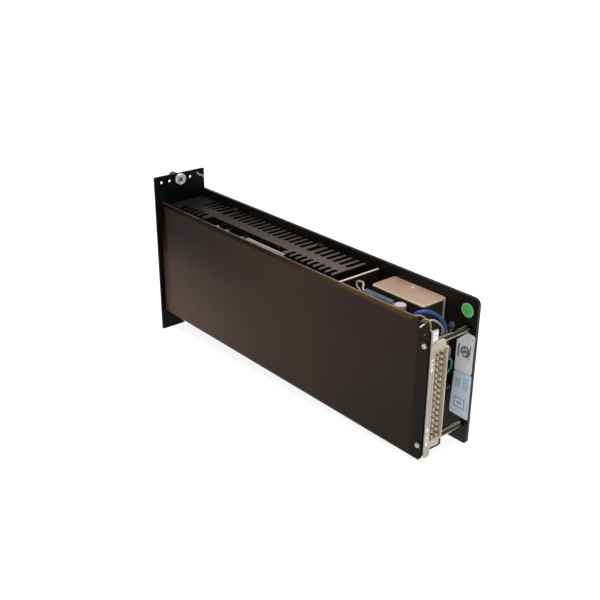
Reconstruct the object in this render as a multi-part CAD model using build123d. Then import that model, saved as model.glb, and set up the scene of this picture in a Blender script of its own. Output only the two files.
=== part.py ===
from build123d import *
import math
import os

# A plug-in servo drive for a rack, in millimetres, +Z up. The front panel faces -Y, the rear
# connector faces +Y, and the sheet side cover is on the +X side. The origin is the centre of
# the front panel's rear face, which seats against the rack.

# ---- Driving dimensions -------------------------------------------------------------------

panel_width = 60.6
panel_height = 170.4
panel_thickness = 3.0

cover_outer_x = 25.2
cover_sheet = 2.0
cover_low_z = -66.0
cover_top_z = 57.8
cover_length = 373.3
cover_bend = 3.8
lip_end_y = 357.0

sink_outer_x = -29.8
sink_thickness = 3.0
sink_low_z = -67.8
sink_top_z = 64.4
sink_length = 376.6

rod_y = 370.0
rod_radius = 3.0
rod_heights = (-49.9, 39.0)
rod_bore_radius = 2.0
rod_bore_depth = 6.0

connector_pitch = 5.08
connector_rows = 16
connector_x = 13.5
connector_z = sum(rod_heights) / 2

vent_top_z = 56.7
vent_floor_z = -63.0
vent_sheet = 1.2
vent_flange = 10.0
vent_near_x = 15.0
vent_far_x = -26.6
vent_start_y = 4.0
vent_end_y = 253.0
vent_bend = 2.2
strip_far_x = -6.0
strip_near_x = 4.0
notch_inner_x = 6.0
slot_width = 4.8
wide_slot_width = 6.4
slot_depth = 6.7
wide_slot_positions = (66.0, 196.0)
notch_y = (66.0, 184.0)

bulkhead_y = (266.2, 268.0)

board_thickness = 1.6
control_board_x = 17.4
power_board_x = -14.6

captive_z = 79.0
captive_travel = 4.0
key_hole_radius = 1.45
key_hole_front_radius = 4.0
key_hole_land = 0.8
key_hole_positions = (-12.7, 12.7, 22.4)

# ---- Derived faces ------------------------------------------------------------------------

cover_inner_x = cover_outer_x - cover_sheet
sink_inner_x = sink_outer_x + sink_thickness
bracket_sheet = 1.5
bracket_inner_x = cover_inner_x - bracket_sheet


# ---- Helpers ------------------------------------------------------------------------------


def block(x, y, z):
    """A box between the two values given for each axis."""
    centre = [(low + high) / 2 for low, high in (x, y, z)]
    size = [high - low for low, high in (x, y, z)]
    return Pos(*centre) * Box(*size)


def along_x(radius, x, y, z):
    """A cylinder between two x values, centred on y and z."""
    return Pos((x[0] + x[1]) / 2, y, z) * Rot(0, 90, 0) * Cylinder(radius, x[1] - x[0])


def along_y(radius, x, y, z):
    """A cylinder between two y values, centred on x and z."""
    return Pos(x, (y[0] + y[1]) / 2, z) * Rot(90, 0, 0) * Cylinder(radius, y[1] - y[0])


def along_z(radius, x, y, z):
    """A cylinder between two z values, centred on x and y."""
    return Pos(x, y, (z[0] + z[1]) / 2) * Cylinder(radius, z[1] - z[0])


def cone_y(front_radius, rear_radius, x, y, z):
    """A cone between two y values, with its first radius at the lower y."""
    return Pos(x, (y[0] + y[1]) / 2, z) * Rot(-90, 0, 0) * Cone(front_radius, rear_radius, y[1] - y[0])


def cone_x(low_radius, high_radius, x, y, z):
    """A cone between two x values, with its first radius at the lower x."""
    return Pos((x[0] + x[1]) / 2, y, z) * Rot(0, 90, 0) * Cone(low_radius, high_radius, x[1] - x[0])


def rounded(shape, axis, radius):
    """The shape with all its edges along one axis filleted."""
    return fillet(shape.edges().filter_by(axis), radius)


def even(first, last, count):
    """Evenly spaced values from first to last."""
    step = (last - first) / max(count - 1, 1)
    return [first + step * index for index in range(count)]


def group(solids):
    """Separate solids of one node."""
    return Compound(children=list(solids))


def save(name, shape):
    """Writes one node."""
    export_step(shape, f"parts/{name}.step")


# ---- Leads --------------------------------------------------------------------------------


def lead(name, points, radius):
    """A lead along a hand-laid route, with each bend as large as its two runs allow."""
    route = [Vector(*point) for point in points]
    bends = []
    for before, corner, after in zip(route, route[1:], route[2:]):
        run_in = corner - before
        run_out = after - corner
        turn = math.radians(run_in.get_angle(run_out))
        bends.append(0.45 * min(run_in.length, run_out.length) / math.tan(turn / 2))
    path = FilletPolyline(*route, radius=bends)
    tube = sweep(Plane(path @ 0, z_dir=path % 0) * Circle(radius), path=path)
    expected = math.pi * radius**2 * path.length
    print(name, "length", round(path.length, 1), "smallest bend", round(min(bends), 1))
    print(name, "volume over section times length", round(tube.volume / expected, 4))
    return tube


# Routes of the leads in the rear bay, each from end to end. Those that start at a terminal
# leave it straight up, and those that end at the header enter it from above or from the side.
terminal_top_z = 18.0
header_top_z = 14.0
header_side_x = -5.0
lead_inset = 4.0
lead_routes = {
    "blue_lead": (
        1.75,
        [
            (9.6, 341.5, terminal_top_z - lead_inset),
            (9.6, 341.5, 38.0),
            (10.4, 342.9, 50.4),
            (7.8, 347.0, 54.0),
            (1.8, 350.6, 53.8),
            (-3.4, 354.8, 50.8),
            (-7.0, 358.2, 46.0),
            (-9.2, 360.0, 40.0),
            (-10.4, 359.4, 31.5),
            (-9.2, 357.6, 24.0),
            (-3.4, 356.0, 19.8),
            (-1.8, 356.0, header_top_z - lead_inset),
        ],
    ),
    "lilac_lead": (
        0.9,
        [
            (8.4, 351.0, terminal_top_z - lead_inset),
            (8.4, 351.0, 30.0),
            (9.4, 352.8, 40.0),
            (10.0, 355.8, 49.4),
            (5.6, 358.6, 50.8),
            (-0.8, 359.6, 46.8),
            (-6.2, 359.8, 40.4),
            (-7.2, 359.4, 33.8),
            (-2.6, 358.8, 27.0),
            (2.0, 359.6, 21.0),
            (2.0, 359.8, header_top_z - lead_inset),
        ],
    ),
    "brown_lead": (
        0.9,
        [
            (15.6, 338.0, terminal_top_z - lead_inset),
            (15.6, 338.0, 30.0),
            (15.2, 340.6, 42.0),
            (14.0, 344.4, 51.4),
            (9.6, 351.2, 53.0),
            (6.6, 355.6, 48.0),
            (5.4, 358.2, 39.6),
            (5.4, 359.6, 28.4),
            (5.4, 359.8, header_top_z - lead_inset),
        ],
    ),
    "earth_lead": (
        1.0,
        [
            (15.4, 349.0, terminal_top_z - lead_inset),
            (15.8, 349.6, 31.0),
            (16.4, 352.0, 42.0),
            (14.2, 356.0, 52.4),
            (10.8, 359.9, 52.4),
            (9.8, 361.0, 44.0),
            (9.2, 359.4, 30.0),
            (6.0, 356.2, 22.0),
            (5.8, 355.9, header_top_z - lead_inset),
        ],
    ),
    "teal_lead": (
        1.0,
        [
            (header_side_x + lead_inset, 361.2, 12.0),
            (-12.0, 361.2, 13.6),
            (-18.2, 361.2, 9.0),
            (-18.8, 361.2, 3.0),
            (-14.0, 361.2, -2.0),
            (header_side_x + lead_inset, 361.2, -2.6),
        ],
    ),
    "white_lead": (
        0.9,
        [
            (header_side_x + lead_inset, 358.8, 8.0),
            (-7.4, 358.8, 8.2),
            (-9.8, 358.8, 14.0),
            (-12.6, 358.8, 21.4),
            (-17.4, 358.8, 20.2),
            (-18.2, 358.8, 12.8),
            (-14.4, 358.8, 6.0),
            (-8.4, 358.8, 1.0),
            (header_side_x + lead_inset, 358.8, 0.4),
        ],
    ),
    "looped_lead": (
        1.0,
        [
            (3.0, 258.0, 20.0),
            (3.0, 279.0, 20.0),
            (4.0, 281.2, 30.0),
            (5.2, 280.2, 46.0),
            (5.2, 272.6, 50.8),
            (3.6, 271.6, 54.6),
            (2.8, 279.0, 54.9),
            (6.8, 281.8, 52.2),
            (8.0, 284.4, 50.6),
            (8.0, 320.4, 50.6),
            (11.5, 321.6, 49.0),
            (15.4, 324.0, 44.0),
            (16.2, 327.0, 36.0),
            (16.2, 327.4, terminal_top_z - lead_inset),
        ],
    ),
}


def lead_hole(name, end):
    """A hole for the stripped end of a lead, a little wider than the lead."""
    radius, points = lead_routes[name]
    inner, outer = (points[0], points[1]) if end == "start" else (points[-1], points[-2])
    inner, outer = Vector(*inner), Vector(*outer)
    way = (outer - inner).normalized()
    disc = Plane(inner - way * 0.2, z_dir=way) * Circle(radius + 0.1)
    return extrude(disc, amount=12, dir=way)


# ---- Front panel and captive screws -------------------------------------------------------

barrel_radius = 4.0
bore_radius = 2.65
barrel_front_y = -4.0
cup_radius = 6.0
cup_bore_radius = 4.8
cup_floor_y = 0.5
cup_rear_y = 2.3
shank_radius = 2.55
groove_radius = 2.05
ring_radius = 3.6
ring_front_y = 0.8
ring_thickness = 0.8
ring_running_clearance = 0.05
knob_radius = 4.8
knob_length = 6.5
knob_flutes = 28
tip_y = 2.3

block_size = 8.0
block_heights = (40.0, -46.0)
block_faces_x = (sink_inner_x + block_size / 2, cover_inner_x - block_size / 2)
panel_screw_radius = 1.5
panel_screw_head_radius = 2.9
panel_screw_end_y = 6.0

indicator_x = 14.4
led_heights = (30.0, 23.0, 16.0)
trimmer_heights = (4.0, -6.0, -16.0, -26.0)


def panel_screw(x, z):
    """A countersunk screw from the panel's front face into a corner block."""
    head_y = (-panel_thickness, -panel_thickness + 1.6)
    head = cone_y(panel_screw_head_radius, panel_screw_radius, x, head_y, z)
    return head + along_y(panel_screw_radius, x, (-panel_thickness, panel_screw_end_y), z)


def key_hole(x):
    """A hole near the panel's upper edge, widened towards the front face."""
    wide_y = (-panel_thickness, -key_hole_land)
    wide = cone_y(key_hole_front_radius, key_hole_radius, x, wide_y, captive_z)
    return wide + along_y(key_hole_radius, x, (-panel_thickness, 1), captive_z)


def front_panel():
    panel = block(
        (-panel_width / 2, panel_width / 2),
        (-panel_thickness, 0),
        (-panel_height / 2, panel_height / 2),
    )
    panel = rounded(panel, Axis.Y, 0.8)
    panel = chamfer(panel.faces().sort_by(Axis.Y)[0].edges(), 0.5)
    cuts = [along_y(barrel_radius, 0, (-4, 1), z) for z in (captive_z, -captive_z)]
    cuts += [key_hole(x) for x in key_hole_positions]
    cuts += [along_y(1.55, indicator_x, (-4, 1), z) for z in led_heights]
    cuts += [along_y(1.4, indicator_x, (-4, 1), z) for z in trimmer_heights]
    cuts += [panel_screw(x, z) for x in block_faces_x for z in block_heights]
    return panel - cuts


def ferrule(z):
    """The fixed sleeve of a captive screw: a barrel through the panel and a cup behind it."""
    body = along_y(barrel_radius, 0, (barrel_front_y, 0), z)
    body += along_y(cup_radius, 0, (0, cup_rear_y), z)
    rear_edge = body.edges().filter_by(GeomType.CIRCLE).sort_by(Axis.Y)[-1]
    body = chamfer(rear_edge, 0.4)
    cup = along_y(cup_bore_radius, 0, (cup_floor_y, cup_rear_y + 1), z)
    return body - cup - along_y(bore_radius, 0, (barrel_front_y - 1, 1), z)


def retaining_ring(z):
    """The ring in the screw's groove, which the cup's floor stops from leaving forwards."""
    y = (ring_front_y, ring_front_y + ring_thickness)
    ring = along_y(ring_radius, 0, y, z)
    return ring - along_y(groove_radius + ring_running_clearance, 0, y, z)


def thumb_screw(z):
    """A knurled head with a driver slot, its shank and the groove for the ring."""
    head_rear_y = barrel_front_y - captive_travel - 0.3
    head_front_y = head_rear_y - knob_length
    head = along_y(knob_radius, 0, (head_front_y, head_rear_y), z)
    head = chamfer(head.edges().filter_by(GeomType.CIRCLE), 0.6)
    flute = Pos(knob_radius + 0.15, 0, 0) * Rot(0, 0, 45) * Box(0.75, 0.75, knob_length - 2.4)
    flutes = PolarLocations(0, knob_flutes) * flute
    middle_y = (head_front_y + head_rear_y) / 2
    head -= [Pos(0, middle_y, z) * Rot(90, 0, 0) * one for one in flutes]
    head -= block((-6.5, 6.5), (head_front_y - 1, head_front_y + 1.6), (z - 0.7, z + 0.7))
    shank = along_y(shank_radius, 0, (head_rear_y, tip_y), z)
    shank = chamfer(shank.edges().filter_by(GeomType.CIRCLE).sort_by(Axis.Y)[-1], 0.5)
    groove_y = (ring_front_y - 0.05, ring_front_y + ring_thickness + 0.05)
    groove = along_y(shank_radius + 1, 0, groove_y, z) - along_y(groove_radius, 0, groove_y, z)
    return head + (shank - groove)


def corner_blocks():
    """Tapped blocks, welded to the side sheets, that take the panel's screws."""
    solids = []
    for x in block_faces_x:
        for z in block_heights:
            half = block_size / 2
            one = block((x - half, x + half), (0, block_size), (z - half, z + half))
            solids.append(one - along_y(panel_screw_radius, x, (-1, panel_screw_end_y), z))
    return group(solids)


# ---- Side cover, heat-sink plate, bulkhead ------------------------------------------------

rod_screw_clearance = 2.15


def side_cover():
    """A flat sheet whose top and bottom edges roll inwards, cut back at the rear corners."""
    height = cover_top_z - cover_low_z
    middle_z = (cover_top_z + cover_low_z) / 2
    reach = 8.0
    outer = Pos(cover_outer_x - reach / 2, middle_z) * Rectangle(reach, height)
    outer = fillet(outer.vertices().group_by(Axis.X)[-1], cover_bend)
    inner = Pos(cover_inner_x - reach / 2, middle_z) * Rectangle(reach, height - 2 * cover_sheet)
    inner = fillet(inner.vertices().group_by(Axis.X)[-1], cover_bend - cover_sheet)
    kept = Pos(cover_outer_x - cover_bend / 2, middle_z) * Rectangle(cover_bend, height)
    profile = Plane.XZ * ((outer - inner) & kept)
    sheet = extrude(profile, amount=cover_length, dir=(0, 1, 0))
    inside = (cover_outer_x - cover_bend - 1, cover_inner_x)
    sheet -= block(inside, (lip_end_y, cover_length + 1), (cover_low_z - 1, cover_top_z + 1))
    sheet -= rear_top_cut() + rear_low_cut()
    for z in rod_heights:
        sheet -= along_x(rod_screw_clearance, (20, 27), rod_y, z)
    return sheet


def rear_top_cut():
    """What is trimmed from the cover's upper rear corner: a shallow slope, then a round."""
    corner_run = 2.1
    corner_z = 49.4
    outline = Polyline(
        (lip_end_y, cover_top_z),
        (cover_length - corner_run, corner_z + 4),
        (cover_length, corner_z),
        (cover_length + 2, corner_z),
        (cover_length + 2, cover_top_z + 2),
        (lip_end_y, cover_top_z + 2),
        close=True,
    )
    return extrude(Plane.YZ * make_face(outline), amount=40)


def rear_low_cut():
    """What is trimmed from the cover's lower rear corner to round it."""
    radius = 8.0
    corner = block(
        (20, 30),
        (cover_length - radius, cover_length + 1),
        (cover_low_z - 1, cover_low_z + radius),
    )
    return corner - along_x(radius, (20, 30), cover_length - radius, cover_low_z + radius)


def heat_sink_plate():
    plate = block((sink_outer_x, sink_inner_x), (0, sink_length), (sink_low_z, sink_top_z))
    rear = plate.edges().filter_by(Axis.X).group_by(Axis.Y)[-1].sort_by(Axis.Z)
    plate = fillet(rear[-1], 6.0)
    rear = plate.edges().filter_by(Axis.X).group_by(Axis.Z)[0].sort_by(Axis.Y)
    plate = fillet(rear[-1], 3.0)
    for z in rod_heights:
        plate -= sink_screw(z)
    return plate


def sink_screw(z):
    """A countersunk screw from outside the heat-sink plate into the end of a tie rod."""
    head = cone_x(3.8, rod_bore_radius, (sink_outer_x, sink_outer_x + 1.8), rod_y, z)
    return head + along_x(rod_bore_radius, (sink_outer_x, sink_inner_x + rod_bore_depth), rod_y, z)


grommet_x = 4.0
grommet_z = 20.0
grommet_radius = 8.0


def bulkhead():
    """A flat cross wall, which closes off the rear bay."""
    wall = block((-26.0, 20.8), bulkhead_y, (-62.0, vent_top_z))
    return wall - along_y(grommet_radius, grommet_x, (260, 270), grommet_z)


def bulkhead_grommet():
    ring = along_y(grommet_radius, grommet_x, bulkhead_y, grommet_z)
    ring += along_y(grommet_radius + 1.8, grommet_x, (bulkhead_y[1], bulkhead_y[1] + 1.6), grommet_z)
    return ring - along_y(grommet_radius - 2, grommet_x, (260, 272), grommet_z)


# ---- Vent plates --------------------------------------------------------------------------


def slot(y, width, inner_x, outer_x):
    """A slot from the centre strip out over the bend, with a round inner end."""
    toward = 1 if outer_x > inner_x else -1
    round_x = inner_x + toward * width / 2
    straight = (min(round_x, outer_x), max(round_x, outer_x))
    z = (vent_top_z - slot_depth, vent_top_z + 1)
    body = block(straight, (y - width / 2, y + width / 2), z)
    return body + along_z(width / 2, round_x, y, z)


def far_slots():
    positions = even(32, 56, 4) + even(76, 185.5, 15) + even(206, 247, 6)
    cuts = [slot(y, slot_width, strip_far_x, vent_far_x - 1) for y in positions]
    cuts += [
        slot(y, wide_slot_width, strip_far_x, vent_far_x - 1) for y in wide_slot_positions
    ]
    return cuts


def near_slots(positions):
    return [slot(y, slot_width, strip_near_x, vent_near_x + 1) for y in positions]


def channel():
    """The plain folded sheet: two long flanges and a rear flange."""
    flange_z = vent_top_z - vent_flange
    outer = block((vent_far_x, vent_near_x), (vent_start_y, vent_end_y), (flange_z, vent_top_z))
    inner = block(
        (vent_far_x + vent_sheet, vent_near_x - vent_sheet),
        (vent_start_y - 1, vent_end_y - vent_sheet),
        (flange_z - 1, vent_top_z - vent_sheet),
    )
    outer_long = outer.edges().filter_by(Axis.Y).group_by(Axis.Z)[-1]
    outer = fillet(outer_long, vent_bend)
    inner_long = inner.edges().filter_by(Axis.Y).group_by(Axis.Z)[-1]
    inner = fillet(inner_long, vent_bend - vent_sheet)
    return outer - inner


def top_vent_plate():
    """Slotted both sides of a plain centre strip, notched over the control board."""
    notch = block(
        (notch_inner_x, vent_near_x + 1), notch_y, (vent_top_z - vent_flange - 1, vent_top_z + 1)
    )
    near = near_slots(even(24, 56, 5) + even(192, 247.3, 8))
    return channel() - far_slots() - near - notch


def bottom_vent_plate():
    plate = channel() - far_slots() - near_slots(even(24, 247.3, 29))
    return upside_down(plate)


def upside_down(shape):
    """Mirrors a piece of the top vent to the bottom of the case."""
    middle = (vent_top_z + vent_floor_z) / 2
    return mirror(shape, about=Plane.XY.offset(middle))


vent_screw_x = -22.8
vent_screw_radius = 1.5


def vent_lugs():
    """Small tapped lugs on the heat-sink plate, which pass through the wide slots."""
    upper = []
    for y in wide_slot_positions:
        top = vent_top_z - vent_sheet
        one = block((sink_inner_x, vent_screw_x + 2.4), (y - 2.6, y + 2.6), (top - 4, top))
        upper.append(one - along_z(vent_screw_radius, vent_screw_x, y, (top - 5, top + 1)))
    return group(upper + [upside_down(one) for one in upper])


def vent_screws():
    upper = []
    for y in wide_slot_positions:
        head = along_z(3.8, vent_screw_x, y, (vent_top_z, vent_top_z + 2.4))
        head = fillet(head.edges().filter_by(GeomType.CIRCLE).sort_by(Axis.Z)[-1], 1.0)
        turn_slot = block(
            (vent_screw_x - 4, vent_screw_x + 4), (y - 0.5, y + 0.5), (vent_top_z + 1.4, vent_top_z + 3)
        )
        shank = along_z(vent_screw_radius, vent_screw_x, y, (vent_top_z - 5, vent_top_z))
        upper.append(head - turn_slot + shank)
    return group(upper + [upside_down(one) for one in upper])


# ---- Tie rods and their screws ------------------------------------------------------------

ear_screw_radius = 1.25
ear_screw_clearance = 1.45
ear_screw_head_radius = 2.3
ear_screw_seat_y = rod_y - 2.0


def tie_rod(z):
    """A round spacer across the rear bay, tapped at both ends and drilled for the connector's screw."""
    rod = along_x(rod_radius, (sink_inner_x, bracket_inner_x), rod_y, z)
    rod = chamfer(rod.edges().filter_by(GeomType.CIRCLE), 0.3)
    rod -= along_x(rod_bore_radius, (sink_inner_x - 1, sink_inner_x + rod_bore_depth), rod_y, z)
    rod -= along_x(rod_bore_radius, (bracket_inner_x - rod_bore_depth, bracket_inner_x + 1), rod_y, z)
    rod -= along_y(ear_screw_head_radius + 0.2, connector_x, (rod_y - 5, ear_screw_seat_y), z)
    return rod - along_y(ear_screw_clearance, connector_x, (rod_y - 4, rod_y + 4), z)


washer_radius = 3.4
washer_thickness = 0.8
cover_screw_head_radius = 2.0
cover_screw_head_height = 1.6


def cover_screws():
    """Cross-slotted pan-head screws that hold the side cover to the tie rods."""
    solids = []
    for z in rod_heights:
        under_x = cover_outer_x + washer_thickness
        head_x = (under_x, under_x + cover_screw_head_height)
        head = along_x(cover_screw_head_radius, head_x, rod_y, z)
        head = fillet(head.edges().filter_by(GeomType.CIRCLE).sort_by(Axis.X)[-1], 0.7)
        cut_x = (head_x[1] - 0.6, head_x[1] + 1)
        head -= block(cut_x, (rod_y - 1.2, rod_y + 1.2), (z - 0.3, z + 0.3))
        head -= block(cut_x, (rod_y - 0.3, rod_y + 0.3), (z - 1.2, z + 1.2))
        shank = along_x(rod_bore_radius, (bracket_inner_x - rod_bore_depth, under_x), rod_y, z)
        solids.append(head + shank)
    return group(solids)


def cover_washers():
    solids = []
    for z in rod_heights:
        ring = along_x(washer_radius, (cover_outer_x, cover_outer_x + washer_thickness), rod_y, z)
        solids.append(ring - along_x(rod_screw_clearance, (cover_outer_x - 1, cover_outer_x + 2), rod_y, z))
    return group(solids)


# ---- Rear connector -----------------------------------------------------------------------

shroud_half_width = 8.1
cavity_half_width = 6.8
body_half_length = 41.1
cavity_half_length = 40.2
ear_half_length = 47.0
ear_x = (8.5, connector_x + shroud_half_width)
ear_y = (rod_y + rod_radius + 0.2, rod_y + rod_radius + 3.2)
ear_screw_end_y = ear_y[1] - 0.8
shroud_rim_y = 376.6
cavity_floor_y = 372.0
connector_board_y = (362.8, 364.4)
pin_half_x = 0.5
pin_half_z = 1.3
pin_end_y = shroud_rim_y - 0.8
pin_tail_radius = 0.4
pin_tail_y = 361.0
pin_columns = (connector_x - connector_pitch / 2, connector_x + connector_pitch / 2)
pin_rows = even(
    connector_z - connector_pitch * (connector_rows - 1) / 2,
    connector_z + connector_pitch * (connector_rows - 1) / 2,
    connector_rows,
)


def connector_shroud():
    """A two-row shroud with an ear at each end and a hole for each pin."""
    x = (connector_x - shroud_half_width, connector_x + shroud_half_width)
    body = block(
        x,
        (connector_board_y[1], shroud_rim_y),
        (connector_z - body_half_length, connector_z + body_half_length),
    )
    ears = block(ear_x, ear_y, (connector_z - ear_half_length, connector_z + ear_half_length))
    body = rounded(body, Axis.Y, 0.8) + rounded(ears, Axis.Y, 0.6)
    cavity = block(
        (connector_x - cavity_half_width, connector_x + cavity_half_width),
        (cavity_floor_y, shroud_rim_y + 1),
        (connector_z - cavity_half_length, connector_z + cavity_half_length),
    )
    body -= rounded(cavity, Axis.Y, 0.8)
    hole_y = (connector_board_y[1] - 1, cavity_floor_y + 1)
    body -= [
        block((px - pin_half_x, px + pin_half_x), hole_y, (pz - pin_half_z, pz + pin_half_z))
        for px in pin_columns
        for pz in pin_rows
    ]
    for z in rod_heights:
        body -= along_y(ear_screw_radius, connector_x, (ear_y[0] - 1, ear_screw_end_y), z)
    return body


def connector_pins():
    solids = []
    for px in pin_columns:
        for pz in pin_rows:
            z = (pz - pin_half_z, pz + pin_half_z)
            y = (connector_board_y[1], pin_end_y)
            pin = block((px - pin_half_x, px + pin_half_x), y, z)
            pin = chamfer(pin.faces().sort_by(Axis.Y)[-1].edges(), 0.25)
            solids.append(pin + along_y(pin_tail_radius, px, (pin_tail_y, connector_board_y[1]), pz))
    return group(solids)


def connector_board():
    """The board behind the connector, whose pins pass through it."""
    board = block((-8.8, 20.8), connector_board_y, (-66.4, 33.0))
    hole_radius = pin_tail_radius + 0.1
    holes = [along_y(hole_radius, px, (360, 366), pz) for px in pin_columns for pz in pin_rows]
    return board - holes


def connector_screws():
    """Screws through the tie rods, from the bay side, into blind holes in the connector's ears."""
    solids = []
    for z in rod_heights:
        head_y = (ear_screw_seat_y - 1.5, ear_screw_seat_y)
        head = along_y(ear_screw_head_radius, connector_x, head_y, z)
        slot_y = (head_y[0] - 1, head_y[0] + 0.6)
        head -= block((connector_x - 0.3, connector_x + 0.3), slot_y, (z - 1.4, z + 1.4))
        solids.append(head + along_y(ear_screw_radius, connector_x, (ear_screw_seat_y, ear_screw_end_y), z))
    return group(solids)


bracket_y = (374.8, 376.3)
bracket_z = (-59.8, 53.2)
tab_x = (18.4, 24.4)
upper_tab_z = (44.3, bracket_z[1])
lower_tab_z = (bracket_z[0], -52.7)


def connector_bracket():
    """An angle beside the connector, clamped between the cover and the tie rods."""
    rear = block((bracket_inner_x, tab_x[1]), bracket_y, bracket_z)
    rear += block(tab_x, bracket_y, upper_tab_z)
    rear += block(tab_x, bracket_y, lower_tab_z)
    low_corners = rear.edges().filter_by(Axis.Y).group_by(Axis.Z)[0].sort_by(Axis.X)
    rear = fillet(low_corners[0], 3.0)
    side = block((bracket_inner_x, cover_inner_x), (358.5, bracket_y[0]), (bracket_z[0], 52.0))
    bracket = rear + side
    for z in rod_heights:
        bracket -= along_x(rod_screw_clearance, (20, 24), rod_y, z)
    return bracket


def connector_tags():
    """Three small blank tags on the bracket."""
    y = (bracket_y[1], bracket_y[1] + 0.15)
    return group(
        [
            block((18.7, 24.1), y, (44.6, 52.9)),
            block((21.9, 24.2), y, (18.6, 29.4)),
            block((21.9, 24.2), y, (-49.2, -31.8)),
        ]
    )


# ---- Control side -------------------------------------------------------------------------

control_face_x = control_board_x
socket_y = (136.6, 190.3)
socket_z = (49.0, vent_top_z)


def control_board():
    return block(
        (control_board_x, control_board_x + board_thickness), (9.0, 258.0), (-58.0, 52.0)
    )


def option_socket():
    """A long two-row socket that straddles the control board's top edge."""
    middle = control_board_x + board_thickness / 2
    body = block((middle - 3.0, middle + 3.0), socket_y, socket_z)
    body = rounded(body, Axis.Z, 0.6)
    body -= block((control_board_x, control_board_x + board_thickness), (130, 195), (48, 52.0))
    groove = block((middle - 0.5, middle + 0.5), (socket_y[0] + 2, socket_y[1] - 2), (54.7, 58))
    return body - groove


def control_chips():
    """Dual-in-line chips on the control board's inner face."""
    solids = []
    for z in (-44.0, -24.0, -4.0, 14.0):
        for y in even(40.0, 120.0, 4):
            x = (control_face_x - 4.2, control_face_x - 0.6)
            body = block(x, (y - 9.6, y + 9.6), (z - 3.2, z + 3.2))
            leg_x = (control_face_x - 2.4, control_face_x)
            legs = [
                block(leg_x, (y + offset, y + offset + 0.5), (z + side, z + side + 0.4))
                for offset in even(-8.9, 8.4, 7)
                for side in (-3.6, 3.2)
            ]
            solids.append(body + legs)
    return group(solids)


def signal_transformer():
    """A taped transformer on the control board, under the notch in the vent plate."""
    core = block((6.4, control_face_x), (138.0, 182.0), (24.0, 48.4))
    return rounded(core, Axis.X, 1.5)


def film_capacitors():
    """Boxed capacitors along the control board's upper edge."""
    return group(
        [
            rounded(block((control_face_x - 7, control_face_x), (y - 6, y + 6), (34.0, 46.0)), Axis.X, 0.8)
            for y in even(72.0, 120.0, 4)
        ]
    )


def trimmers():
    """Multi-turn trimmers behind the panel, each with its adjusting screw."""
    solids = []
    for z in trimmer_heights:
        body = block((control_face_x - 5.4, control_face_x), (9.0, 18.5), (z - 4.7, z + 4.7))
        screw = along_y(1.1, indicator_x, (7.4, 9.0), z)
        solids.append(body + screw)
    return group(solids)


def status_leds():
    """Three indicator lamps in the panel, on the control board's front edge."""
    solids = []
    for z in led_heights:
        lamp = along_y(1.5, indicator_x, (-4.0, 7.0), z)
        lamp = fillet(lamp.edges().filter_by(GeomType.CIRCLE).sort_by(Axis.Y)[0], 1.3)
        base = block((indicator_x - 2.4, control_face_x), (7.0, 10.0), (z - 2.4, z + 2.4))
        solids.append(lamp + base)
    return group(solids)


# ---- Power side ---------------------------------------------------------------------------

power_face_x = power_board_x + board_thickness
transistor_rows = (-34.0, 6.0)
transistor_columns = even(36.0, 120.0, 5)
pad_thickness = 0.4
transistor_height = 5.0


def power_board():
    return block((power_board_x, power_face_x), (10.0, 250.0), (-58.0, 42.0))


def board_standoffs():
    """Hexagonal spacers between the heat-sink plate and the power board."""
    length = power_board_x - sink_inner_x
    solids = []
    for y in (16.0, 138.0, 244.0):
        for z in (-46.0, 38.0):
            hexagon = Rot(0, 90, 0) * extrude(RegularPolygon(3.2, 6), amount=length)
            solids.append(Pos(sink_inner_x, y, z) * hexagon)
    return group(solids)


def transistor_pads():
    x = (sink_inner_x, sink_inner_x + pad_thickness)
    return group(
        [
            block(x, (y - 9, y + 9), (z - 11, z + 11))
            for z in transistor_rows
            for y in transistor_columns
        ]
    )


def power_transistors():
    """Flat power transistors on their pads, with three legs bent over to the board."""
    solids = []
    for z in transistor_rows:
        for y in transistor_columns:
            x = (sink_inner_x + pad_thickness, sink_inner_x + pad_thickness + transistor_height)
            one = rounded(block(x, (y - 8, y + 8), (z - 10.2, z + 10.2)), Axis.X, 0.8)
            for offset in (-5.4, 0.0, 5.4):
                leg_y = (y + offset - 0.6, y + offset + 0.6)
                one += block((x[1] - 2.6, x[1] - 1.8), leg_y, (z - 14.4, z - 10.2))
                one += block((x[1] - 1.8, power_board_x), leg_y, (z - 14.4, z - 13.6))
            solids.append(one)
    return group(solids)


def clamp_bars():
    """One bar over each row of transistors."""
    x0 = sink_inner_x + pad_thickness + transistor_height
    return group(
        [rounded(block((x0, x0 + 2.5), (24.0, 132.0), (z + 1, z + 8)), Axis.X, 1.0) for z in transistor_rows]
    )


def bus_capacitors():
    """Can capacitors that stand on the power board."""
    solids = []
    for y in (172.0, 199.0, 226.0):
        for z in (-36.0, -9.0):
            can = along_x(12.0, (power_face_x, power_face_x + 24.0), y, z)
            can = fillet(can.edges().filter_by(GeomType.CIRCLE).sort_by(Axis.X)[-1], 1.5)
            solids.append(can)
    return group(solids)


def ripple_choke():
    ring = Pos(power_face_x + 5.2, 110.0, 20.0) * Rot(0, 90, 0) * Torus(12.0, 5.0)
    return ring


def relay():
    return rounded(block((power_face_x, 6.0), (200.0, 229.0), (24.0, 38.0)), Axis.X, 0.8)


fuse_z = 34.0
fuse_centres = (36.0, 78.0)


def fuses():
    return group([along_y(3.1, power_face_x + 6.0, (y - 16, y + 16), fuse_z) for y in fuse_centres])


def fuse_clips():
    """A pair of clips for each fuse."""
    solids = []
    for y in fuse_centres:
        for end in (-13.0, 13.0):
            x = (power_face_x, power_face_x + 8.0)
            one = block(x, (y + end - 2.4, y + end + 2.4), (fuse_z - 4.0, fuse_z + 4.0))
            one -= along_y(3.1, power_face_x + 6.0, (y - 20, y + 20), fuse_z)
            solids.append(one)
    return group(solids)


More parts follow.
